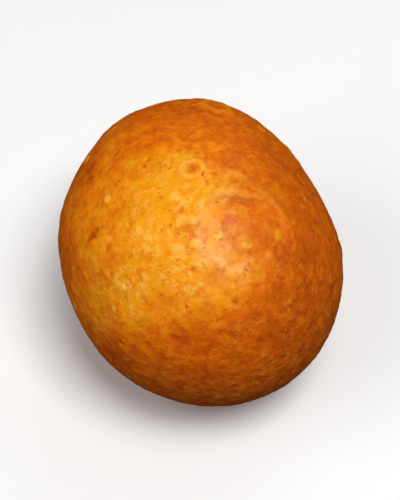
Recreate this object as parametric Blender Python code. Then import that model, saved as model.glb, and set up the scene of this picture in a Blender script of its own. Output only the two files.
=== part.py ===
"""A puff-puff: one ball of yeast dough, dropped by hand into hot oil and fried brown.

The ball is a single closed solid, a rounded cube grid whose points are pushed out to the
form of the dough: an uneven egg shape, the flats where it lay against its neighbours, the
swirls and folds of the squeezed dough, its blisters and dents, and the small knob at the
back where it was pinched off the hand.
Metres, +Z up. The origin is the middle of the bounding box's underside, on the resting spot.
"""

import math

import bmesh
import bpy
import numpy as np

MM = 0.001

# Overall size of the ball before its flats and swellings
WIDTH = 51.2 * MM
LENGTH = 59.0 * MM
HEIGHT = 50.4 * MM
YAW = math.radians(18)
MEAN_RADIUS = (WIDTH * LENGTH * HEIGHT) ** (1 / 3) / 2

# The underside has settled to a small flat spot with a rounded edge
SETTLED = 1.5 * MM
SPOT_EDGE = 0.5 * MM

# Quads along each edge of the cube that the grid starts from
GRID = 28

CRUST_COLOUR = (0.72, 0.29, 0.035, 1.0)
CRUST_ROUGHNESS = 0.48

# Places are (azimuth, elevation) in degrees: azimuth 0 faces -Y, 90 faces +X.
# Wide, soft flats (depth above 0) and swellings (depth below 0): place, reach, depth
SWELLS = (
    ((115, 31), 18.0 * MM, 1.4 * MM),
    ((-114, 18), 12.0 * MM, 0.3 * MM),
    ((150, -30), 13.5 * MM, 0.7 * MM),
    ((-60, -35), 13.0 * MM, 0.6 * MM),
    ((64, -20), 17.0 * MM, -0.9 * MM),
    ((178, 42), 9.0 * MM, -0.8 * MM),
)

# Slow waves that make the ball uneven
WAVE_COUNT = 14
WAVE_HEIGHT = 0.06 * MM
WAVE_TURNS = (3.0, 9.0)
WAVE_SEED = 21

# Rolled lips round a swirl: place, lip radius, lip width, lip height, facing, half span, dish
SWIRLS = (
    ((29, 52), 9.4 * MM, 1.7 * MM, 0.42 * MM, 55, 105, 0.30 * MM),
    ((-150, 8), 8.0 * MM, 1.7 * MM, 0.45 * MM, 120, 120, 0.35 * MM),
    ((95, -22), 7.0 * MM, 1.6 * MM, 0.40 * MM, -70, 95, 0.25 * MM),
)
DISH_SHARE = 0.7  # reach of the dish, as a share of the lip's radius

# Folds, each a groove with a lip on one side: the places it runs through, width, depth
FOLDS = (
    (((12, 68), (38, 67), (60, 56)), 1.8 * MM, 0.35 * MM),
    (((112, 4), (132, 14), (152, 12), (170, 0)), 2.0 * MM, 0.70 * MM),
    (((-108, -22), (-86, -10), (-62, -16)), 1.9 * MM, 0.60 * MM),
)
FOLD_LIP = 0.6  # height of the lip, as a share of the groove's depth
FOLD_LIP_PLACE = 1.8  # how many groove widths the lip lies from the groove

# Blisters: place, ring radius, ring width, height of the ring, depth of its middle
BLISTERS = (
    ((-32, 84), 2.6 * MM, 1.5 * MM, 0.22 * MM, 0.30 * MM),
    ((170, 48), 3.0 * MM, 1.6 * MM, 0.35 * MM, 0.30 * MM),
    ((-126, -14), 2.6 * MM, 1.5 * MM, 0.30 * MM, 0.25 * MM),
)

# Dents that fried dark: place, reach, depth
DENTS = (
    ((-64, 37), 1.6 * MM, 0.35 * MM),
    ((-105, 39), 1.8 * MM, 0.30 * MM),
    ((-110, 54), 2.2 * MM, 0.30 * MM),
    ((-6, 19), 2.0 * MM, 0.35 * MM),
    ((38, 33), 1.4 * MM, 0.30 * MM),
    ((-156, 42), 1.6 * MM, 0.40 * MM),
    ((128, -8), 1.8 * MM, 0.40 * MM),
    ((20, -22), 1.8 * MM, 0.35 * MM),
)

# The knob where the dough was pinched off, in a shallow ring of its own
KNOB_PLACE = (156, -15)
KNOB_HEIGHT = 1.8 * MM
KNOB_REACH = 3.2 * MM
KNOB_BLUNTNESS = 3
KNOB_DROOP = 0.7 * MM
KNOB_RING = 6.4 * MM
KNOB_RING_WIDTH = 3.2 * MM
KNOB_RING_DEPTH = 0.45 * MM
GATHER_REACH = 7.0 * MM  # the grid's points are drawn towards the knob within this reach
GATHER_SHARE = 0.4


def clear_scene():
    for item in list(bpy.data.objects):
        bpy.data.objects.remove(item)


def facing_of(place):
    """The unit vector that points from the ball's middle to a place on the crust."""
    azimuth, elevation = (math.radians(angle) for angle in place)
    level = math.cos(elevation)
    return np.array(
        (math.sin(azimuth) * level, -math.cos(azimuth) * level, math.sin(elevation))
    )


def reach_to(facings, place):
    """Distance over the crust from a place to each point."""
    return MEAN_RADIUS * np.arccos(np.clip(facings @ facing_of(place), -1, 1))


def bump(distance, width):
    return np.exp(-((distance / width) ** 2))


def bearing_round(facings, place):
    """Angle of each point round a place, in degrees: 0 to its east, 90 upwards."""
    centre = facing_of(place)
    east = np.cross((0, 0, 1), centre)
    east /= np.linalg.norm(east)
    north = np.cross(centre, east)
    return np.degrees(np.arctan2(facings @ north, facings @ east))


def egg_radius(facings):
    """Radius of an ellipsoid whose long axis is turned by YAW."""
    cosine, sine = math.cos(YAW), math.sin(YAW)
    across = cosine * facings[:, 0] + sine * facings[:, 1]
    along = -sine * facings[:, 0] + cosine * facings[:, 1]
    stretch = (
        (across / WIDTH) ** 2 + (along / LENGTH) ** 2 + (facings[:, 2] / HEIGHT) ** 2
    )
    return 0.5 / np.sqrt(stretch)


def swells(facings):
    height = np.zeros(len(facings))
    for place, reach, depth in SWELLS:
        height -= depth * bump(reach_to(facings, place), reach)
    return height


def waves(facings):
    """A sum of slow cosine waves, each along its own seeded axis."""
    draw = np.random.default_rng(WAVE_SEED)
    height = np.zeros(len(facings))
    for _ in range(WAVE_COUNT):
        axis = draw.normal(size=3)
        axis /= np.linalg.norm(axis)
        turns = draw.uniform(*WAVE_TURNS)
        phase = draw.uniform(0, 2 * math.pi)
        height += WAVE_HEIGHT * np.cos(turns * (facings @ axis) + phase)
    return height


def swirls(facings):
    """A shallow dish, and a lip round part of it that fades out at both ends."""
    height = np.zeros(len(facings))
    for place, radius, width, lip, middle, half_span, dish in SWIRLS:
        distance = reach_to(facings, place)
        off = np.abs((bearing_round(facings, place) - middle + 180) % 360 - 180)
        height += lip * bump(distance - radius, width) * bump(off, half_span)
        height -= dish * bump(distance, DISH_SHARE * radius)
    return height


def distance_to_path(facings, places):
    """Signed distance over the crust to a path, and the share of the path run by then."""
    corners = [facing_of(place) for place in places]
    distance = np.full(len(facings), np.inf)
    along = np.zeros(len(facings))
    for step, (start, end) in enumerate(zip(corners, corners[1:])):
        run = end - start
        share = np.clip((facings - start) @ run / (run @ run), 0, 1)
        offset = facings - (start + share[:, None] * run)
        gap = MEAN_RADIUS * np.linalg.norm(offset, axis=1)
        gap *= np.sign(offset @ np.cross(start, run))
        closer = np.abs(gap) < np.abs(distance)
        distance[closer] = gap[closer]
        along[closer] = (step + share[closer]) / (len(corners) - 1)
    return distance, along


def folds(facings):
    height = np.zeros(len(facings))
    for places, width, depth in FOLDS:
        distance, along = distance_to_path(facings, places)
        strength = depth * np.sin(math.pi * along)
        height -= strength * bump(distance, width)
        height += FOLD_LIP * strength * bump(distance - FOLD_LIP_PLACE * width, width)
    return height


def blisters(facings):
    height = np.zeros(len(facings))
    for place, radius, width, ring, middle in BLISTERS:
        distance = reach_to(facings, place)
        height += ring * bump(distance - radius, width)
        height -= middle * bump(distance, width)
    return height


def dents(facings):
    height = np.zeros(len(facings))
    for place, reach, depth in DENTS:
        height -= depth * bump(reach_to(facings, place), reach)
    return height


def gather_to_knob(facings):
    """Draws the grid together round the knob, so that the knob gets enough points."""
    pull = GATHER_SHARE * bump(reach_to(facings, KNOB_PLACE), GATHER_REACH)
    gathered = facings + pull[:, None] * (facing_of(KNOB_PLACE) - facings)
    return gathered / np.linalg.norm(gathered, axis=1)[:, None]


def knob(facings):
    """Offset of the knob: a blunt cone that droops towards its end, in a ring-shaped dip."""
    distance = reach_to(facings, KNOB_PLACE)
    rise = 1 / (1 + (distance / KNOB_REACH) ** KNOB_BLUNTNESS)
    ring = KNOB_RING_DEPTH * bump(distance - KNOB_RING, KNOB_RING_WIDTH)
    offset = (KNOB_HEIGHT * rise - ring)[:, None] * facing_of(KNOB_PLACE)
    offset[:, 2] -= KNOB_DROOP * rise**2
    return offset


def settle(points):
    """Flattens what is under the resting plane, with a rounded edge, and sets it on Z 0."""
    above = points[:, 2] - points[:, 2].min() - SETTLED
    share = np.clip((above + SPOT_EDGE) / (2 * SPOT_EDGE), 0, 1)
    points[:, 2] = np.where(above > SPOT_EDGE, above, SPOT_EDGE * share**2)
    middle = (points.min(axis=0) + points.max(axis=0)) / 2
    points[:, :2] -= middle[:2]
    return points


def dough_points(facings):
    facings = gather_to_knob(facings)
    radius = egg_radius(facings) + swells(facings) + waves(facings)
    radius += swirls(facings) + folds(facings) + blisters(facings) + dents(facings)
    return settle(radius[:, None] * facings + knob(facings))


def grid_ball():
    """A cube cut into an even grid. Its sides are bent so that the quads stay alike."""
    grid = bmesh.new()
    bmesh.ops.create_cube(grid, size=2)
    bmesh.ops.subdivide_edges(
        grid, edges=list(grid.edges), cuts=GRID - 1, use_grid_fill=True
    )
    mesh = bpy.data.meshes.new("puff_puff")
    grid.to_mesh(mesh)
    grid.free()
    return mesh


def shape_ball(mesh):
    corners = np.empty(len(mesh.vertices) * 3)
    mesh.vertices.foreach_get("co", corners)
    bent = np.tan(corners.reshape(-1, 3) * math.pi / 4)
    facings = bent / np.linalg.norm(bent, axis=1)[:, None]
    mesh.vertices.foreach_set("co", dough_points(facings).ravel())
    mesh.update()
    mesh.shade_smooth()


def crust_material():
    crust = bpy.data.materials.new("fried_crust")
    crust.use_nodes = True
    shader = crust.node_tree.nodes["Principled BSDF"]
    shader.inputs["Base Color"].default_value = CRUST_COLOUR
    shader.inputs["Roughness"].default_value = CRUST_ROUGHNESS
    shader.inputs["Metallic"].default_value = 0.0
    return crust


def main():
    clear_scene()
    parts = bpy.data.collections.new("puff_puff")
    bpy.context.scene.collection.children.link(parts)
    mesh = grid_ball()
    shape_ball(mesh)
    mesh.materials.append(crust_material())
    parts.objects.link(bpy.data.objects.new("puff_puff", mesh))


main()
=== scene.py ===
# A puff-puff: the fried crust of one ball of yeast dough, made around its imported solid.
# Lengths are in metres and +Z is up. A place on the crust is (azimuth, elevation) in degrees:
# azimuth 0 faces the camera, along -Y, azimuth 90 faces +X, and elevation 90 is straight up.
import math

import bpy
import numpy as np
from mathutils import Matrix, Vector


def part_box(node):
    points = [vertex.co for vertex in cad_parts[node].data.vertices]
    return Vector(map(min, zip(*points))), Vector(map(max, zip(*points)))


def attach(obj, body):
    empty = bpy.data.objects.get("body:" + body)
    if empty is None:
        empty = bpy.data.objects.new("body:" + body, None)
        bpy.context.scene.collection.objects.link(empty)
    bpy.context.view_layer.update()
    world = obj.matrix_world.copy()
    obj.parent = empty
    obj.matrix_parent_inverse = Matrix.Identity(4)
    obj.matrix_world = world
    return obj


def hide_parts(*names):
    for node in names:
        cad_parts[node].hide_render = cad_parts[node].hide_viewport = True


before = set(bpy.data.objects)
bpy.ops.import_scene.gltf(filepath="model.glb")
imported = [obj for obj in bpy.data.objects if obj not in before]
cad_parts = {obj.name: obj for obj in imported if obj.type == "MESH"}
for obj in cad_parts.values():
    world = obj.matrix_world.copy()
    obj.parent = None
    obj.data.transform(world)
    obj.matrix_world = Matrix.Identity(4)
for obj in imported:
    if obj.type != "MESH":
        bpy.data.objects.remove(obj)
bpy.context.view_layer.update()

mm = 0.001
cadLow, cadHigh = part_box("puff_puff")
print("frame loaded, CAD box", [round(side / mm, 2) for side in cadHigh - cadLow], "mm")

# The ball's main form, the same as the solid's
dough = {
    "width": 51.2 * mm,
    "length": 59.0 * mm,
    "height": 50.4 * mm,
    "yaw": 18,  # degrees by which the long axis leans back to the left
    "settled": 1.5 * mm,  # how far the underside has settled to its flat spot
    "spotEdge": 0.5 * mm,
    # wide flats (above 0) and swellings (below 0): place, reach, depth
    "swells": (
        ((115, 31), 18.0 * mm, 1.4 * mm),
        ((-114, 18), 12.0 * mm, 0.3 * mm),
        ((150, -30), 13.5 * mm, 0.7 * mm),
        ((-60, -35), 13.0 * mm, 0.6 * mm),
        ((64, -20), 17.0 * mm, -0.9 * mm),
        ((178, 42), 9.0 * mm, -0.8 * mm),
    ),
    # slow waves that make it uneven; turns are radians between the middle and the crust
    "waveCount": 14,
    "waveHeight": 0.06 * mm,
    "waveTurns": (3.0, 9.0),
    "waveSeed": 21,
    # rolled lips round a swirl: place, lip radius, width, height, facing, half span, dish
    "swirls": (
        ((29, 52), 9.4 * mm, 1.7 * mm, 0.42 * mm, 55, 105, 0.30 * mm),
        ((-150, 8), 8.0 * mm, 1.7 * mm, 0.45 * mm, 120, 120, 0.35 * mm),
        ((95, -22), 7.0 * mm, 1.6 * mm, 0.40 * mm, -70, 95, 0.25 * mm),
    ),
    "dishShare": 0.7,  # reach of the dish, as a share of the lip's radius
    # the knob where the dough was pinched off
    "knobPlace": (156, -15),
    "knobHeight": 1.8 * mm,
    "knobReach": 3.2 * mm,
    "knobBluntness": 3,  # the power of the distance, and more of it is blunter
    "knobDroop": 0.7 * mm,
    "knobRing": 6.4 * mm,
    "knobRingWidth": 3.2 * mm,
    "knobRingDepth": 0.45 * mm,
    "gatherReach": 7.0 * mm,  # the grid's points are drawn towards the knob within this reach
    "gatherShare": 0.4,  # how far towards the knob the nearest of them are drawn
}
meanRadius = (dough["width"] * dough["length"] * dough["height"]) ** (1 / 3) / 2


def facingOf(place):
    # the unit vector from the ball's middle to a place
    azimuth, elevation = (math.radians(angle) for angle in place)
    level = math.cos(elevation)
    return np.array((math.sin(azimuth) * level, -math.cos(azimuth) * level, math.sin(elevation)))


def reachTo(facings, place):
    # distance over the crust: the mean radius times the angle between the two directions
    return meanRadius * np.arccos(np.clip(facings @ facingOf(place), -1, 1))


def bump(distance, width):
    # a bell curve: 1 at no distance, e to the minus (distance / width) squared elsewhere
    return np.exp(-((distance / width) ** 2))


def smooth(low, high, value):
    # 0 below low, 1 above high, and an S-shaped ramp between them
    share = np.clip((value - low) / (high - low), 0, 1)
    return share * share * (3 - 2 * share)


def bearingRound(facings, place):
    # angle of each point round a place, in degrees: 0 to its east, 90 upwards
    centre = facingOf(place)
    east = np.cross((0, 0, 1), centre)
    east /= np.linalg.norm(east)
    return np.degrees(np.arctan2(facings @ np.cross(centre, east), facings @ east))


def offBearing(facings, place, middle):
    # how far each point's bearing lies from a middle bearing, 0 to 180 degrees
    return np.abs((bearingRound(facings, place) - middle + 180) % 360 - 180)


latticeHalf = 34 * mm  # every lattice of noise reaches this far from the middle, past the crust


def latticeNoise(points, cell, seed):
    # A random value at every corner of a lattice of cubes, blended with S-shaped weights
    # between the eight corners round a point. It runs from -1 to 1.
    half = int(latticeHalf / cell) + 2
    values = np.random.default_rng(seed).uniform(-1, 1, (2 * half + 1,) * 3)
    place = points / cell + half
    corner = np.floor(place).astype(int)
    ease = place - corner
    ease *= ease * (3 - 2 * ease)
    total = np.zeros(len(points))
    for side in np.ndindex(2, 2, 2):
        weight = np.prod(np.where(side, ease, 1 - ease), axis=1)
        total += weight * values[tuple((corner + side).T)]
    return total


def layeredNoise(points, layers):
    # the sum of several lattice noises, each with its cell, seed and strength
    return sum(strength * latticeNoise(points, cell, seed) for cell, seed, strength in layers)


def scattered(points, cell, seed, share, small, large):
    # Round spots of uneven size, one at a random place in some cubes of a lattice. Each adds
    # (1 - (distance / radius) squared) squared inside its radius, and the sum stops at 1.
    half = int(latticeHalf / cell) + 3
    noRadius = 1e-9  # for the cubes that are left empty
    draw = np.random.default_rng(seed)
    spots = draw.uniform(0, 1, (2 * half + 1,) * 3 + (3,))
    lots = draw.uniform(0, 1, (2 * half + 1,) * 3)
    radii = np.where(lots < share, small + (large - small) * (lots / share) ** 2, noRadius) / cell
    place = points / cell + half
    corner = np.floor(place).astype(int)
    total = np.zeros(len(points))
    for side in np.ndindex(3, 3, 3):
        cube = corner + side - np.array((1, 1, 1))
        index = tuple(cube.T)
        gap = np.linalg.norm(cube + spots[index] - place, axis=1) / radii[index]
        total += np.clip(1 - gap * gap, 0, 1) ** 2
    return np.minimum(total, 1)


def eggRadius(facings):
    # radius of an ellipsoid whose long axis is turned by the yaw
    turn = math.radians(dough["yaw"])
    across = math.cos(turn) * facings[:, 0] + math.sin(turn) * facings[:, 1]
    along = -math.sin(turn) * facings[:, 0] + math.cos(turn) * facings[:, 1]
    stretch = (across / dough["width"]) ** 2 + (along / dough["length"]) ** 2
    return 0.5 / np.sqrt(stretch + (facings[:, 2] / dough["height"]) ** 2)


def swells(facings):
    # each flat or swelling is a bell curve of its depth
    height = np.zeros(len(facings))
    for place, reach, depth in dough["swells"]:
        height -= depth * bump(reachTo(facings, place), reach)
    return height


def waves(facings):
    # a sum of slow cosine waves, each along its own seeded axis
    draw = np.random.default_rng(dough["waveSeed"])
    height = np.zeros(len(facings))
    for _ in range(dough["waveCount"]):
        axis = draw.normal(size=3)
        axis /= np.linalg.norm(axis)
        turns = draw.uniform(*dough["waveTurns"])
        phase = draw.uniform(0, 2 * math.pi)
        height += dough["waveHeight"] * np.cos(turns * (facings @ axis) + phase)
    return height


def swirls(facings):
    # a shallow dish, and a lip round part of it that fades out at both ends
    height = np.zeros(len(facings))
    for place, radius, width, lip, middle, halfSpan, dish in dough["swirls"]:
        distance = reachTo(facings, place)
        fade = bump(offBearing(facings, place, middle), halfSpan)
        height += lip * bump(distance - radius, width) * fade
        height -= dish * bump(distance, dough["dishShare"] * radius)
    return height


def gatherToKnob(facings):
    # draws the grid together round the knob, so that the knob gets enough points
    pull = dough["gatherShare"] * bump(reachTo(facings, dough["knobPlace"]), dough["gatherReach"])
    gathered = facings + pull[:, None] * (facingOf(dough["knobPlace"]) - facings)
    return gathered / np.linalg.norm(gathered, axis=1)[:, None]


def knobOffset(facings):
    # a blunt cone that droops towards its end, in a ring-shaped dip
    distance = reachTo(facings, dough["knobPlace"])
    rise = 1 / (1 + (distance / dough["knobReach"]) ** dough["knobBluntness"])
    ring = dough["knobRingDepth"] * bump(distance - dough["knobRing"], dough["knobRingWidth"])
    offset = (dough["knobHeight"] * rise - ring)[:, None] * facingOf(dough["knobPlace"])
    offset[:, 2] -= dough["knobDroop"] * rise**2
    return offset


# What the fryer left in the crust: relief that is finer than the solid's
crust = {
    "grid": 128,  # quads along each edge of the cube, 196 608 triangles in all
    "inset": 0.10 * mm,  # keeps the relief inside the solid's box
    # noises that pull the marks about and break them up: cell, seed, strength
    "wander": ((3.0 * mm, 11, 1.0),),
    "ragged": ((1.1 * mm, 12, 1.0), (0.6 * mm, 13, 0.5)),
    "patchy": ((2.4 * mm, 14, 1.0),),
    # soft pebbling: cell, seed, height
    "pebbles": (
        (3.2 * mm, 20, 0.055 * mm),
        (1.6 * mm, 21, 0.070 * mm),
        (0.9 * mm, 22, 0.050 * mm),
    ),
    # scattered bubbles: cell, seed, share of cells, radius from, to, height
    "bubbles": (
        (3.4 * mm, 30, 0.45, 0.6 * mm, 1.5 * mm, 0.13 * mm),
        (1.5 * mm, 31, 0.40, 0.3 * mm, 0.7 * mm, 0.070 * mm),
    ),
    # scattered pits: cell, seed, share of cells, radius from, to, depth
    "pits": (
        (4.6 * mm, 40, 0.30, 0.4 * mm, 0.8 * mm, 0.30 * mm),
        (2.0 * mm, 41, 0.22, 0.3 * mm, 0.5 * mm, 0.14 * mm),
    ),
    # folds, each a groove with a lip: the places it runs through, groove width, depth, lip height
    "folds": (
        (((14, 70), (26, 69), (38, 67), (50, 62), (60, 56)), 0.75 * mm, 0.26 * mm, 0.18 * mm),
        (((24, 65), (35, 66), (43, 63), (52, 62)), 0.50 * mm, 0.24 * mm, 0.24 * mm),
        (
            ((36, 77), (52, 74), (63, 68), (60, 59), (56, 51), (46, 44)),
            0.50 * mm,
            0.16 * mm,
            0.10 * mm,
        ),
        (((30, 36), (40, 39), (50, 47), (56, 55)), 0.70 * mm, 0.16 * mm, 0.12 * mm),
        (((112, 4), (132, 14), (152, 12), (170, 0)), 0.85 * mm, 0.50 * mm, 0.30 * mm),
        (((124, -2), (138, 3), (146, -6)), 0.60 * mm, 0.22 * mm, 0.16 * mm),
        (((-108, -22), (-86, -10), (-62, -16)), 0.85 * mm, 0.50 * mm, 0.30 * mm),
        (((-100, -28), (-84, -20), (-70, -26)), 0.60 * mm, 0.22 * mm, 0.15 * mm),
        (((150, 22), (166, 27), (-177, 37), (-166, 50)), 0.60 * mm, 0.24 * mm, 0.16 * mm),
    ),
    "foldStray": 1.1 * mm,  # how far a fold's line wanders
    "foldTaper": 0.7,  # below 1, a fold stays deep nearer to its ends
    "foldGap": (-1.2, 0.0),  # patchy noise at which a fold is gone, and is whole
    "foldLip": (1.9, 1.2),  # place and width of the lip, in groove widths
    "fullGroove": 0.3 * mm,  # a groove this deep gets all its painted shade
    "fullLip": 0.24 * mm,  # and so does a lip or a rim this high
    # ringed blisters: place, ring radius, ring width, ring height, depth of the middle
    "ringed": (
        ((-23, 84), 1.7 * mm, 0.8 * mm, 0.26 * mm, 0.34 * mm),
        ((52, 73), 1.4 * mm, 0.6 * mm, 0.14 * mm, 0.22 * mm),
        ((-16, 66), 0.9 * mm, 0.5 * mm, 0.10 * mm, 0.16 * mm),
        ((170, 48), 2.7 * mm, 1.0 * mm, 0.30 * mm, 0.34 * mm),
        ((-126, -14), 2.3 * mm, 0.9 * mm, 0.26 * mm, 0.30 * mm),
        ((130, 30), 1.2 * mm, 0.6 * mm, 0.12 * mm, 0.18 * mm),
        ((-160, 4), 1.0 * mm, 0.5 * mm, 0.12 * mm, 0.18 * mm),
    ),
    "ringPull": (0.5, 0.8),  # pull of the ragged noise and of the wander, in ring widths
    "ringWidths": (0.8, 0.9),  # width of the rim and of the middle, in ring widths
    "ringGap": (-1.0, 0.0),  # patchy noise at which a rim is gone, and is whole
    "rimColour": 0.7,  # how pale the rims are, where a fold's lip is 1
    "middleColour": 0.8,  # how dark the middles are, where a scar is 1
    # small blisters, pale on top, partly pale crust and partly painted highlight: place, radius
    "blisters": (
        ((2, 69), 1.0 * mm), ((-5, 62), 0.6 * mm), ((13, 56), 0.7 * mm),
        ((-2, 54), 1.0 * mm), ((48, 47), 0.8 * mm), ((-14, 51), 0.8 * mm),
        ((-34, 31), 0.7 * mm), ((-40, 52), 0.9 * mm), ((-28, 70), 0.8 * mm),
        ((28, 50), 0.7 * mm), ((-75, 50), 0.8 * mm), ((-118, 30), 0.9 * mm),
        ((140, 45), 0.9 * mm), ((-170, 15), 0.8 * mm), ((85, 5), 0.8 * mm),
        ((-60, 0), 0.8 * mm), ((165, -38), 0.8 * mm), ((-100, -40), 0.8 * mm),
    ),
    "blisterHeight": 0.12 * mm,
    "blisterSide": (1.5, 0.4),  # where its side starts and where its top starts, in radii
    "blisterPull": 0.45,  # pull of the ragged noise, in radii
    # dark scars: place, reach along, reach across, turn of its long side, depth
    "scars": (
        ((-64, 37), 2.0 * mm, 0.7 * mm, 80, 0.24 * mm),
        ((-105, 39), 2.4 * mm, 1.5 * mm, 30, 0.22 * mm),
        ((-110, 54), 2.4 * mm, 1.4 * mm, 50, 0.08 * mm),
        ((-6, 19), 1.9 * mm, 1.3 * mm, 10, 0.26 * mm),
        ((8, 22), 0.9 * mm, 0.7 * mm, 60, 0.20 * mm),
        ((-156, 42), 1.7 * mm, 1.1 * mm, 0, 0.30 * mm),
        ((128, -8), 2.0 * mm, 1.2 * mm, 40, 0.30 * mm),
        ((62, 12), 1.5 * mm, 0.9 * mm, 20, 0.20 * mm),
        ((46, 22), 3.0 * mm, 1.7 * mm, 60, 0.17 * mm),
        ((37, 17), 2.4 * mm, 1.6 * mm, 20, 0.15 * mm),
        ((20, -22), 2.0 * mm, 1.2 * mm, 0, 0.25 * mm),
        ((-170, -28), 1.8 * mm, 1.2 * mm, 70, 0.25 * mm),
        ((100, 40), 1.6 * mm, 0.8 * mm, 30, 0.22 * mm),
    ),
    "scarSide": (1.7, 0.2),  # where its side starts and where its floor starts, in reaches
    "scarPull": 0.5,  # pull of the ragged noise, in reaches
    "scarFull": 0.2 * mm,  # a scar this deep gets all its colour
    # pinholes where steam broke out: places
    "pinholes": (
        (-33, 32), (-3, 44), (38, 33), (15, 32), (-48, 52), (52, 41), (-26, 56), (29, 50),
        (70, 30), (-80, 20), (120, 30), (150, 22), (-140, 20), (178, 12), (100, -10),
        (-120, -30), (30, 5), (-30, 8), (-10, -12), (60, -30), (165, -40), (-160, -20),
        (-95, 70), (110, 65),
    ),
    "pinholeReach": 0.42 * mm,
    "pinholeSizes": (0.7, 0.6, 0.618),  # smallest, range above it, step from one to the next
    "pinholeDepth": 0.34 * mm,
    "pinholePull": 0.4,  # pull of the ragged noise, in reaches
    "pinholeRim": (0.2, 2.2),  # height of its rim, in depths, and where it lies, in reaches
    # fine arcs of drawn dough round the first swirl: spacing, height, nearest, farthest, facing,
    # half span
    "arcs": (1.55 * mm, 0.060 * mm, 2.6 * mm, 9.0 * mm, 10, 95),
    "arcFade": 1.5,  # how far past the farthest they fade out, in spacings
    "arcWander": 0.55,  # in spacings
    # pleats that run to the knob: how many, depth, how far they reach
    "pleats": (9, 0.20 * mm, 7.5 * mm),
    "pleatStart": (1.2 * mm, 3.0 * mm),  # distances between which they fade in
    "pleatFade": 0.35,  # share of their reach at which they start to fade out
    "pleatWander": 2.2,  # in radians
    "knobLumps": 0.30 * mm,  # height of the lumps on the knob itself
}


def cubeGrid():
    # Six grids of two parameters, one for each side of a cube: integer corners (side, u, v),
    # with the corners that two or three sides share merged, and quads that face outwards.
    count = crust["grid"]
    step = np.arange(count + 1) * 2 - count
    u, v = np.meshgrid(step, step, indexing="ij")
    side = np.full_like(u, count)
    corner = np.arange((count + 1) ** 2).reshape(count + 1, count + 1)
    quad = np.stack((corner[:-1, :-1], corner[1:, :-1], corner[1:, 1:], corner[:-1, 1:]), -1)
    quad = quad.reshape(-1, 4)
    points, quads = [], []
    for turn in range(3):
        for sign in (1, -1):
            sheet = np.stack((sign * side, u, v), -1).reshape(-1, 3)
            quads.append((quad if sign > 0 else quad[:, ::-1]) + len(points) * len(sheet))
            points.append(np.roll(sheet, turn, axis=1))
    merged, place = np.unique(np.concatenate(points), axis=0, return_inverse=True)
    return merged / count, place.ravel()[np.concatenate(quads)]


def roundedFacings(cube):
    # bends the cube's sides by the tangent, so that the quads stay alike on the ball
    bent = np.tan(cube * math.pi / 4)
    return bent / np.linalg.norm(bent, axis=1)[:, None]


def pathDistance(facings, places):
    # signed distance over the crust to a path, and the share of the path run by then
    corners = [facingOf(place) for place in places]
    distance = np.full(len(facings), np.inf)
    along = np.zeros(len(facings))
    for step, (start, end) in enumerate(zip(corners, corners[1:])):
        run = end - start
        share = np.clip((facings - start) @ run / (run @ run), 0, 1)
        offset = facings - (start + share[:, None] * run)
        gap = meanRadius * np.linalg.norm(offset, axis=1)
        gap *= np.sign(offset @ np.cross(start, run))
        closer = np.abs(gap) < np.abs(distance)
        distance[closer] = gap[closer]
        along[closer] = (step + share[closer]) / (len(corners) - 1)
    return distance, along


def foldRelief(facings, wander, patchy):
    # A groove with a soft lip on its upper side, both bell curves of the distance to a line
    # that wanders, strongest halfway along: the sine of the share run, to the taper's power.
    height, groove, lips = (np.zeros(len(facings)) for _ in range(3))
    lipPlace, lipWidth = crust["foldLip"]
    for places, width, depth, lip in crust["folds"]:
        distance, along = pathDistance(facings, places)
        distance = distance + crust["foldStray"] * wander
        strength = np.sin(math.pi * along) ** crust["foldTaper"] * smooth(*crust["foldGap"], patchy)
        inGroove = strength * bump(distance, width)
        onLip = strength * bump(distance - lipPlace * width, lipWidth * width)
        height += lip * onLip - depth * inGroove
        groove = np.maximum(groove, inGroove * min(1, depth / crust["fullGroove"]))
        lips = np.maximum(lips, onLip * min(1, lip / crust["fullLip"]))
    return height, groove, lips


def ringedRelief(facings, ragged, wander, patchy):
    # a raised ring round a sunken middle, pulled about by two noises and broken up by a third
    height, middles, rims = (np.zeros(len(facings)) for _ in range(3))
    raggedPull, wanderPull = crust["ringPull"]
    rimWidth, middleWidth = crust["ringWidths"]
    for place, radius, width, ring, middle in crust["ringed"]:
        distance = reachTo(facings, place) + width * (raggedPull * ragged + wanderPull * wander)
        rim = bump(distance - radius, rimWidth * width) * smooth(*crust["ringGap"], patchy)
        height += ring * rim - middle * bump(distance, middleWidth * width)
        middles = np.maximum(middles, bump(distance, width))
        rims = np.maximum(rims, rim * min(1, ring / crust["fullLip"]))
    return height, middles, rims


def blisterRelief(facings, ragged):
    # small domes with S-shaped sides and ragged edges
    domes = np.zeros(len(facings))
    for place, radius in crust["blisters"]:
        distance = reachTo(facings, place) / radius + crust["blisterPull"] * ragged
        domes = np.maximum(domes, smooth(*crust["blisterSide"], distance))
    return crust["blisterHeight"] * domes, domes


def scarRelief(facings, ragged):
    # Sunken ovals with S-shaped sides: the distance is measured longer across than along, and
    # a noise moves the edge in and out.
    height, marks = np.zeros(len(facings)), np.zeros(len(facings))
    for place, along, across, turn, depth in crust["scars"]:
        distance = reachTo(facings, place)
        bearing = np.radians(bearingRound(facings, place) - turn)
        oval = np.hypot(distance * np.cos(bearing) / along, distance * np.sin(bearing) / across)
        mark = smooth(*crust["scarSide"], oval + crust["scarPull"] * ragged)
        height -= depth * mark
        marks = np.maximum(marks, mark * min(1, depth / crust["scarFull"]))
    return height, marks


def pinholeRelief(facings, ragged):
    # small uneven holes of several sizes, each with a slightly raised rim, all bell curves
    height, holes = np.zeros(len(facings)), np.zeros(len(facings))
    smallest, spread, step = crust["pinholeSizes"]
    rimHeight, rimPlace = crust["pinholeRim"]
    for number, place in enumerate(crust["pinholes"]):
        reach = crust["pinholeReach"] * (smallest + spread * (step * number % 1))
        distance = reachTo(facings, place) + crust["pinholePull"] * reach * ragged
        hole = bump(distance, reach)
        rim = bump(distance - rimPlace * reach, reach)
        height += crust["pinholeDepth"] * (rimHeight * rim - hole)
        holes = np.maximum(holes, hole)
    return height, holes


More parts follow.
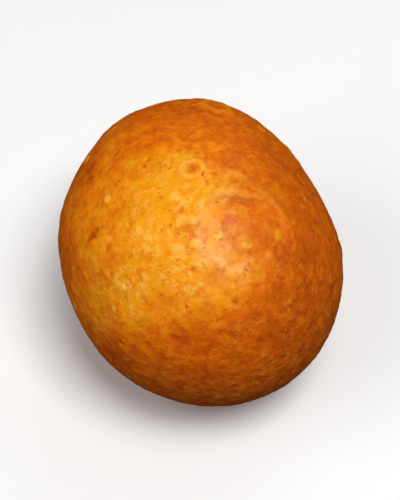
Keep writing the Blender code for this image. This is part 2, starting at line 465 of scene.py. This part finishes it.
def arcRelief(facings, wander):
    # Cosine ridges at even distances round the first swirl, within a ring and a half turn.
    # The distance wanders, so that no ridge is a true circle.
    spacing, rise, near, far, middle, halfSpan = crust["arcs"]
    place = dough["swirls"][0][0]
    distance = reachTo(facings, place)
    window = smooth(near - spacing, near + spacing, distance)
    window *= smooth(far + crust["arcFade"] * spacing, far - spacing, distance)
    window *= bump(offBearing(facings, place, middle), halfSpan)
    return rise * window * np.cos(2 * math.pi * (distance / spacing + crust["arcWander"] * wander))


def pleatRelief(facings, wander):
    # cosine pleats round the knob that fade with distance, and lumps on the knob itself
    count, depth, far = crust["pleats"]
    place = dough["knobPlace"]
    distance = reachTo(facings, place)
    turn = np.radians(bearingRound(facings, place))
    window = smooth(*crust["pleatStart"], distance) * smooth(far, crust["pleatFade"] * far, distance)
    pleats = depth * window * np.cos(count * turn + crust["pleatWander"] * wander)
    return pleats + crust["knobLumps"] * wander * bump(distance, dough["knobReach"])


def settle(points):
    # flattens what is under the resting plane, with a rounded edge, and sets it on Z 0
    edge = dough["spotEdge"]
    above = points[:, 2] - points[:, 2].min() - dough["settled"] + crust["inset"]
    share = np.clip((above + edge) / (2 * edge), 0, 1)
    points[:, 2] = np.where(above > edge, above, edge * share**2)
    middle = (points.min(axis=0) + points.max(axis=0)) / 2
    points[:, :2] -= middle[:2]
    return points


# Where the ball is browner: where it fried darker, and painted shade that darkens its rims and its
# lower front
browningAndShade = {
    # place, reach in degrees, softness in degrees, strength
    "zones": (
        ((80, 31), 42, 20, 0.82),  # the side that lay deepest in the oil, and painted shade along its rim
        # the top of that side: browner, and painted shade on its rim
        ((100, 66), 24, 16, 0.30),
        ((108, 0), 18, 16, 0.55),
        ((165, 44), 38, 34, 0.88),
        # these two, the lower front: a browner underside, and painted shade that darkens it further
        ((34, -36), 75, 14, 0.94),
        ((30, -50), 74, 13, 0.75),
        ((-110, 3), 60, 34, 0.70),
        ((-140, -35), 44, 22, 0.66),
        ((-112, 58), 9, 7, 0.25),
        ((-104, 38), 6, 5, 0.40),
        ((-64, 37), 5, 4, 0.35),
        ((122, 62), 13, 12, 0.38),
        # painted shade: dims the top middle, where the first light shines most
        ((4, 64), 12, 10, 0.12),
        ((-78, 72), 7, 6, 0.22),
        ((152, -20), 38, 20, 0.74),
        ((156, -15), 12, 8, 0.45),  # round the knob
    ),
    "deepest": 1.5,  # the browning and painted shade where the zones cover the crust in full
    "edges": ((8.0 * mm, 71, 1.0), (3.5 * mm, 72, 0.5)),  # noise of the edges: cell, seed, strength
    "edgeStray": 6,  # how far, in degrees, the noise moves an edge
    "wideZone": 30,  # a zone this wide, in degrees, has its edge moved in full
    "patches": ((7.0 * mm, 80, 0.22), (3.2 * mm, 81, 0.16)),  # blotches: cell, seed, strength
}


def brownZones(facings, points):
    # Each zone is an S-shaped edge round its place. What every zone leaves clear is multiplied
    # together, so that the zones never add up to more than the deepest brown.
    stray = browningAndShade["edgeStray"] * layeredNoise(points, browningAndShade["edges"])
    clear = np.ones(len(facings))
    for place, reach, softness, strength in browningAndShade["zones"]:
        angle = np.degrees(reachTo(facings, place) / meanRadius)
        angle += stray * min(1, reach / browningAndShade["wideZone"])
        clear *= 1 - strength * smooth(reach + softness, reach - softness, angle)
    brown = browningAndShade["deepest"] * (1 - clear)
    for cell, seed, strength in browningAndShade["patches"]:
        brown += strength * latticeNoise(points, cell, seed)
    return brown


def crustSurface(facings):
    # The whole crust: main form, then relief pushed out along each direction. It also gives
    # the fields that the finish reads.
    facings = gatherToKnob(facings)
    radius = eggRadius(facings) + swells(facings) + waves(facings) + swirls(facings)
    points = radius[:, None] * facings
    wander, ragged, patchy = (
        layeredNoise(points, crust[name]) for name in ("wander", "ragged", "patchy")
    )
    folds, grooves, lips = foldRelief(facings, wander, patchy)
    rings, middles, rims = ringedRelief(facings, ragged, wander, patchy)
    blisters, domes = blisterRelief(facings, ragged)
    scars, marks = scarRelief(facings, ragged)
    pinholes, holes = pinholeRelief(facings, ragged)
    relief = folds + rings + blisters + scars + pinholes
    relief += arcRelief(facings, wander) + pleatRelief(facings, wander)
    for cell, seed, height in crust["pebbles"]:
        relief += height * latticeNoise(points, cell, seed)
    bubbles, pits = np.zeros(len(facings)), np.zeros(len(facings))
    for cell, seed, share, small, large, height in crust["bubbles"]:
        spots = scattered(points, cell, seed, share, small, large)
        relief += height * spots
        bubbles = np.maximum(bubbles, spots)
    for cell, seed, share, small, large, depth in crust["pits"]:
        spots = scattered(points, cell, seed, share, small, large)
        relief -= depth * spots
        pits = np.maximum(pits, spots)
    pale = np.maximum(lips, crust["rimColour"] * rims)
    fields = {
        # browner where it fried darker, with painted shade on the rims and the lower front
        "browningAndShade": brownZones(facings, points),
        "scar": np.maximum(marks, crust["middleColour"] * middles),
        "groove": np.maximum(grooves, holes),
        "lip": np.clip(np.maximum(pale, domes), 0, 1),
        "bubble": bubbles,
        "pit": pits,
    }
    made = (radius + relief - crust["inset"])[:, None] * facings + knobOffset(facings)
    return settle(made), fields


def makeCrust():
    # puts the surface and its fields into one closed mesh
    cube, quads = cubeGrid()
    points, fields = crustSurface(roundedFacings(cube))
    mesh = bpy.data.meshes.new("crust")
    mesh.vertices.add(len(points))
    mesh.vertices.foreach_set("co", points.astype(np.float32).ravel())
    mesh.loops.add(quads.size)
    mesh.loops.foreach_set("vertex_index", quads.astype(np.int32).ravel())
    mesh.polygons.add(len(quads))
    mesh.polygons.foreach_set("loop_start", np.arange(0, quads.size, 4, dtype=np.int32))
    mesh.update(calc_edges=True)
    mesh.validate()
    mesh.shade_smooth()
    for name, values in fields.items():
        layer = mesh.attributes.new(name, "FLOAT", "POINT")
        layer.data.foreach_set("value", values.astype(np.float32))
    piece = bpy.data.objects.new("crust", mesh)
    bpy.context.scene.collection.objects.link(piece)
    print("crust made,", len(quads) * 2, "triangles")
    return piece


class Socket:
    # One output of a node. Arithmetic on it adds Math nodes to its material.
    def __init__(self, recipe, socket):
        self.recipe = recipe
        self.socket = socket

    def maths(self, operation, first, second=0.0):
        return self.recipe.node("Math", {"operation": operation}, {0: first, 1: second})

    def __add__(self, other):
        return self.maths("ADD", self, other)

    def __radd__(self, other):
        return self.maths("ADD", other, self)

    def __sub__(self, other):
        return self.maths("SUBTRACT", self, other)

    def __rsub__(self, other):
        return self.maths("SUBTRACT", other, self)

    def __mul__(self, other):
        return self.maths("MULTIPLY", self, other)

    def __rmul__(self, other):
        return self.maths("MULTIPLY", other, self)

    def ramp(self, low, high, shape="SMOOTHSTEP"):
        # 0 at low, 1 at high, and an S-shaped or straight ramp between them
        return self.recipe.node(
            "MapRange",
            {"interpolation_type": shape},
            {"Value": self, "From Min": low, "From Max": high},
        )


class Recipe:
    # One material. Its node method adds any node: settings first, then values and links.
    def __init__(self, name):
        self.material = bpy.data.materials.new(name)
        self.material.use_nodes = True
        self.tree = self.material.node_tree
        self.tree.nodes.clear()

    def node(self, kind, settings=None, sockets=None, output=0):
        made = self.tree.nodes.new("ShaderNode" + kind)
        for name, value in (settings or {}).items():
            setattr(made, name, value)
        for name, value in (sockets or {}).items():
            if isinstance(value, Socket):
                self.tree.links.new(value.socket, made.inputs[name])
            else:
                made.inputs[name].default_value = value
        return Socket(self, made.outputs[output]) if made.outputs else None

    def mix(self, share, first, second):
        # from the first colour to the second; its colours are sockets 6 and 7, and output 2
        return self.node("Mix", {"data_type": "RGBA"}, {0: share, 6: first, 7: second}, 2)

    def field(self, name):
        # an attribute of the mesh, one number for each point
        return self.node("Attribute", {"attribute_name": name}, output="Fac")

    def place(self, shift):
        # the point's own coordinates, moved so that each pattern starts somewhere else
        ownPlace = self.node("TexCoord", output="Object")
        return self.node("Mapping", sockets={"Vector": ownPlace, "Location": (shift,) * 3})

    def noise(self, cell, detail, roughness, shift):
        # soft noise, about 0.5 on average, with lumps the size of the cell
        sockets = {"Scale": 1 / cell, "Detail": detail, "Roughness": roughness}
        return self.node("TexNoise", {}, {"Vector": self.place(shift), **sockets})

    def spots(self, cell, share, inner, outer, ragged, shift):
        # One spot in a share of the cells of an uneven lattice: 1 within the inner radius and
        # 0 beyond the outer one, in cells. A finer noise pulls the edges about, and the cell
        # draws its lot from the red of its random colour.
        finer, lotEdge = 2.2, 0.06
        place = self.place(shift)
        sockets = {"Vector": place, "Scale": finer / cell, "Detail": 1.0}
        pull = self.node("TexNoise", {}, sockets, "Color")
        pull = self.node("VectorMath", {"operation": "SUBTRACT"}, {0: pull, 1: (0.5, 0.5, 0.5)})
        pull = self.node("VectorMath", {"operation": "SCALE"}, {0: pull, "Scale": ragged * cell})
        place = self.node("VectorMath", {"operation": "ADD"}, {0: place, 1: pull})
        distance = self.node("TexVoronoi", {}, {"Vector": place, "Scale": 1 / cell})
        cellColour = Socket(self, distance.socket.node.outputs["Color"])
        lot = self.node("SeparateColor", {}, {"Color": cellColour}, "Red")
        return distance.ramp(outer, inner) * lot.ramp(1 - share, 1 + lotEdge - share)

    def shader(self, sockets):
        # closes the recipe with one surface
        surface = self.node("BsdfPrincipled", sockets=sockets)
        self.node("OutputMaterial", sockets={"Surface": surface})
        return self.material


# The fried finish. An edge is the two values between which a noise or the browning and shade takes
# effect.
finish = {
    # linear colours
    "honey": (0.98, 0.327, 0.001, 1),
    "olive": (0.86, 0.325, 0.001, 1),
    "straw": (0.98, 0.475, 0.052, 1),  # pale flecks on the golden part, partly pale crust and partly painted glints
    "apricot": (0.98, 0.33, 0.004, 1),  # pale flecks on the brown part, partly pale crust and partly painted glints
    "amber": (0.72, 0.132, 0.0002, 1),
    "chestnut": (0.42, 0.050, 0.0005, 1),
    # the darkest brown, painted shade where a scar lies in a groove or a pit
    "deepShade": (0.15, 0.018, 0.001, 1),
    # soft noises: cell, detail, roughness, shift
    "hue": (5.0 * mm, 2.0, 0.5, 9.1 * mm),
    "blotch": (2.6 * mm, 2.0, 0.5, 0.0),
    "speckle": (1.1 * mm, 2.0, 0.5, 5.3 * mm),
    "grain": (0.5 * mm, 3.0, 0.65, 0.0),
    "cluster": (4.0 * mm, 1.0, 0.5, 3.1 * mm),
    "patch": (1.5 * mm, 2.0, 0.6, 2.3 * mm),
    # ragged spots: cell, share of cells, inner and outer radius in cells, raggedness, shift
    "largeFlecks": (1.5 * mm, 0.55, 0.16, 0.48, 1.3, 2.3 * mm),
    "smallFlecks": (0.85 * mm, 0.50, 0.18, 0.46, 1.3, 7.7 * mm),
    "specks": (1.6 * mm, 0.40, 0.10, 0.34, 1.1, 4.9 * mm),
    "pores": (2.4 * mm, 0.45, 0.05, 0.15, 0.5, 6.1 * mm),
    # the mottling of the browning and painted shade
    "blotchMottling": 1.8,
    "speckleMottling": 1.3,
    "calming": 0.15,  # how much weaker the mottling is on brown parts
    "calmingEdge": (0.2, 1.2),
    "bubbleBrown": 0.10,
    # the main colours
    "oliveEdge": (0.40, 0.60),
    "amberEdge": (0.0, 1.0),
    "chestnutEdge": (1.0, 2.1),
    # the pale flecks, partly pale crust and partly painted glints: fewer on brown parts, and
    # gathered in clusters
    "fleckLoss": 0.70,
    "fleckLossEdge": (0.0, 1.1),
    "clusterShares": (0.45, 0.75),  # strength outside a cluster, and what a cluster adds
    "clusterEdge": (0.38, 0.62),
    "apricotEdge": (0.05, 0.70),
    "patchEdge": (0.47, 0.65),
    "patchCover": 0.78,
    "largeFleckCover": 0.60,
    "smallFleckCover": 0.75,
    # the pale lips of folds, rings and blisters, partly pale crust and partly painted highlight
    "lipCover": 0.88,
    "lipLoss": 0.30,  # how much weaker they are on brown parts
    "lipEdge": (0.5, 1.5),
    # the dark marks, and painted shade in the grooves, pits and pinholes
    "speckCover": 0.80,
    "poreCover": 0.75,
    "hollowShadeEdge": (0.20, 1.0),
    "hollowShadeCover": 0.60,
    "scarSpeckle": 0.7,  # how raggedly a scar's colour ends
    "scarEdge": (0.10, 1.10),
    "scarCover": 0.60,
    "scarHollowShadeEdge": (0.2, 0.9),
    "scarHollowShadeCover": 0.50,
    # the surface
    "roughness": (0.46, 0.60),
    "grainRoughness": 0.3,
    "scarRoughness": 0.3,
    "oil": 0.31,  # weight of the thin film of oil
    "oilShares": (0.45, 0.9),  # its share outside a cluster, and what a cluster adds
    "oilEdge": (0.36, 0.64),
    "oilLoss": 0.6,  # how much of it the brown parts lack
    "oilLossEdge": (0.3, 1.1),
    "oilRoughness": 0.36,
    # relief that is finer than the mesh: the share of each pattern, the height and the strength
    "fineRelief": {
        "grain": 0.5,
        "speckle": 0.7,
        "patch": 0.7,
        "smallFlecks": 0.35,
        "largeFlecks": 0.25,
    },
    "fineHeight": 0.20 * mm,
    "fineStrength": 0.8,
    # the body of the dough
    "refraction": 1.45,
    "gloss": 0.12,  # kept low, so that no white veil dulls the colour
    "glow": 0.06,
    "glowColour": (1.0, 0.45, 0.15),
    "glowDepth": 1.2 * mm,
}


def crustPatterns(look):
    # what the colour, the oil and the dents are mixed from: the fields of the mesh, soft
    # noises and ragged spots, each under its name
    fields = ("browningAndShade", "scar", "groove", "lip", "bubble", "pit")
    noises = ("hue", "blotch", "speckle", "grain", "cluster", "patch")
    spots = ("largeFlecks", "smallFlecks", "specks", "pores")
    patterns = {name: look.field(name) for name in fields}
    patterns.update({name: look.noise(*finish[name]) for name in noises})
    patterns.update({name: look.spots(*finish[name]) for name in spots})
    return patterns


def crustColour(look, patterns):
    # Honey or olive turns to amber and then to chestnut as the mottled browning and painted shade
    # grow. Over that lie pale patches, flecks and lips, partly pale crust and partly painted
    # highlight, and then the dark marks and the painted shade of the hollows.
    brown, scar = patterns["browningAndShade"], patterns["scar"]
    blotches, speckles = patterns["blotch"] - 0.5, patterns["speckle"] - 0.5
    mottling = blotches * finish["blotchMottling"] + speckles * finish["speckleMottling"]
    calm = 1 - finish["calming"] * brown.ramp(*finish["calmingEdge"])
    tone = brown + mottling * calm + patterns["bubble"] * finish["bubbleBrown"]
    isOlive = patterns["hue"].ramp(*finish["oliveEdge"])
    colour = look.mix(isOlive, finish["honey"], finish["olive"])
    colour = look.mix(tone.ramp(*finish["amberEdge"], "LINEAR"), colour, finish["amber"])
    colour = look.mix(tone.ramp(*finish["chestnutEdge"], "LINEAR"), colour, finish["chestnut"])

    # pale patches and flecks: partly pale crust, partly painted glints on the tops of the fine bumps
    outside, inside = finish["clusterShares"]
    pale = 1 - finish["fleckLoss"] * brown.ramp(*finish["fleckLossEdge"])
    pale = pale * (outside + inside * patterns["cluster"].ramp(*finish["clusterEdge"]))
    fleck = look.mix(brown.ramp(*finish["apricotEdge"]), finish["straw"], finish["apricot"])
    patch = patterns["patch"].ramp(*finish["patchEdge"])
    colour = look.mix(patch * pale * finish["patchCover"], colour, fleck)
    colour = look.mix(patterns["largeFlecks"] * pale * finish["largeFleckCover"], colour, fleck)
    colour = look.mix(patterns["smallFlecks"] * pale * finish["smallFleckCover"], colour, fleck)
    # pale lips, rims and blister tops: partly pale crust, partly painted highlight on the raised
    # parts
    browned = brown.ramp(*finish["lipEdge"])
    cream = look.mix(browned, finish["straw"], finish["apricot"])
    lipCover = finish["lipCover"] - finish["lipLoss"] * browned
    colour = look.mix(patterns["lip"] * lipCover, colour, cream)

    # painted shade: darker in the grooves, pits and pinholes
    hollowShade = (patterns["pit"] + patterns["groove"]).ramp(*finish["hollowShadeEdge"])
    scarred = (scar + speckles * finish["scarSpeckle"]).ramp(*finish["scarEdge"])
    # painted shade, deepest where a scar lies in a groove or a pit
    scarHollowShade = (scar * patterns["groove"] + scar * patterns["pit"]).ramp(*finish["scarHollowShadeEdge"])
    colour = look.mix(patterns["specks"] * finish["speckCover"], colour, finish["amber"])
    colour = look.mix(patterns["pores"] * finish["poreCover"], colour, finish["chestnut"])
    colour = look.mix(hollowShade * finish["hollowShadeCover"], colour, finish["chestnut"])
    colour = look.mix(scarred * finish["scarCover"], colour, finish["chestnut"])
    return look.mix(scarHollowShade * finish["scarHollowShadeCover"], colour, finish["deepShade"])


def oilFilm(patterns):
    # thicker in the clusters and thinner on brown parts
    outside, inside = finish["oilShares"]
    film = finish["oil"] * (outside + inside * patterns["cluster"].ramp(*finish["oilEdge"]))
    return film * (1 - finish["oilLoss"] * patterns["browningAndShade"].ramp(*finish["oilLossEdge"]))


def crustRoughness(patterns):
    # from the low to the high roughness with the blotches, the grain and the scars
    low, high = finish["roughness"]
    grain = finish["grainRoughness"] * patterns["grain"]
    scar = finish["scarRoughness"] * patterns["scar"]
    return low + (high - low) * (patterns["blotch"] + grain + scar)


def fineDents(look, patterns):
    # the patterns' shares added up to one height for the bump
    height = sum(share * patterns[name] for name, share in finish["fineRelief"].items())
    sockets = {"Strength": finish["fineStrength"], "Distance": finish["fineHeight"]}
    return look.node("Bump", sockets={**sockets, "Height": height})


def friedFinish():
    # one material: the mixed colour, dull and slightly glowing, under a thin film of oil
    look = Recipe("fried_crust")
    patterns = crustPatterns(look)
    return look.shader(
        {
            "Base Color": crustColour(look, patterns),
            "Roughness": crustRoughness(patterns),
            "Metallic": 0.0,
            "IOR": finish["refraction"],
            "Specular IOR Level": finish["gloss"],
            "Normal": fineDents(look, patterns),
            "Subsurface Weight": finish["glow"],
            "Subsurface Radius": finish["glowColour"],
            "Subsurface Scale": finish["glowDepth"],
            "Coat Weight": oilFilm(patterns),
            "Coat Roughness": finish["oilRoughness"],
        }
    )


# The plain pale floor and soft studio light
studio = {
    "floorSize": 6.0,  # in metres
    "floorColour": (0.97, 0.97, 0.965, 1),
    "floorRoughness": 0.75,
    "worldColour": (1.0, 1.0, 1.0, 1),
    "worldStrength": 0.16,
    # each light: azimuth and elevation it shines from, distance and size in metres, power in
    # watts, and whether the crust mirrors it
    "lights": (
        (36, 67, 0.9, 0.42, 6.15, True),
        (-68, 36, 1.0, 0.80, 3.3, False),
        (155, 36, 1.0, 0.70, 1.5, False),
    ),
}


def makeFloor():
    # one flat square just under the ball
    half = studio["floorSize"] / 2
    corners = [(x * half, y * half, 0.0) for x, y in ((-1, -1), (1, -1), (1, 1), (-1, 1))]
    mesh = bpy.data.meshes.new("floor")
    mesh.from_pydata(corners, [], [(0, 1, 2, 3)])
    look = Recipe("pale_floor")
    sockets = {"Base Color": studio["floorColour"], "Roughness": studio["floorRoughness"]}
    mesh.materials.append(look.shader(sockets))
    floor = bpy.data.objects.new("floor", mesh)
    floor.visible_diffuse = False  # light thrown back by it would flatten the ball's shading
    floor.visible_glossy = False
    bpy.context.scene.collection.objects.link(floor)


def makeLights():
    # soft square lights, each turned to face the ball's middle
    target = Vector((0, 0, (cadLow.z + cadHigh.z) / 2))
    for number, (azimuth, elevation, distance, size, power, mirrored) in enumerate(studio["lights"]):
        light = bpy.data.lights.new("light_%d" % number, "AREA")
        light.size = size
        light.energy = power
        lamp = bpy.data.objects.new(light.name, light)
        lamp.location = target + distance * Vector(facingOf((azimuth, elevation)))
        lamp.rotation_euler = (target - lamp.location).to_track_quat("-Z", "Y").to_euler()
        lamp.visible_glossy = mirrored
        bpy.context.scene.collection.objects.link(lamp)
    world = bpy.data.worlds.new("studio")
    world.use_nodes = True
    backdrop = world.node_tree.nodes["Background"]
    backdrop.inputs["Color"].default_value = studio["worldColour"]
    backdrop.inputs["Strength"].default_value = studio["worldStrength"]
    world.cycles_visibility.glossy = False  # a white veil would dull the crust's colour
    bpy.context.scene.world = world
    bpy.context.scene.view_settings.view_transform = "Standard"
    bpy.context.scene.view_settings.look = "None"


# The photograph's view of the ball, drawn four times as large
view = {
    "elevation": 51,  # in degrees, looking down
    "distance": 276 * mm,
    "aim": 24 * mm,  # height of the point that the camera looks at
    "sensorHeight": 36,  # in millimetres, as the lens is
    "focalPixels": 1516,  # for a frame 400 pixels wide and 500 high
    "frameHeight": 500,  # in pixels too
    "clipStart": 10 * mm,
}


def makeCamera():
    # looks along +Y and down at the ball's middle
    camera = bpy.data.cameras.new("camera")
    camera.sensor_fit = "VERTICAL"
    camera.sensor_height = view["sensorHeight"]
    camera.lens = view["sensorHeight"] * view["focalPixels"] / view["frameHeight"]
    camera.clip_start = view["clipStart"]
    eye = bpy.data.objects.new("camera", camera)
    target = Vector((0, 0, view["aim"]))
    eye.location = target + view["distance"] * Vector(facingOf((0, view["elevation"])))
    eye.rotation_euler = (target - eye.location).to_track_quat("-Z", "Y").to_euler()
    bpy.context.scene.collection.objects.link(eye)
    bpy.context.scene.camera = eye


piece = makeCrust()
piece.data.materials.append(friedFinish())
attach(piece, "root")
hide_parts("puff_puff")
print("finish made")

makeFloor()
makeLights()
makeCamera()
print("floor, lights and camera made")
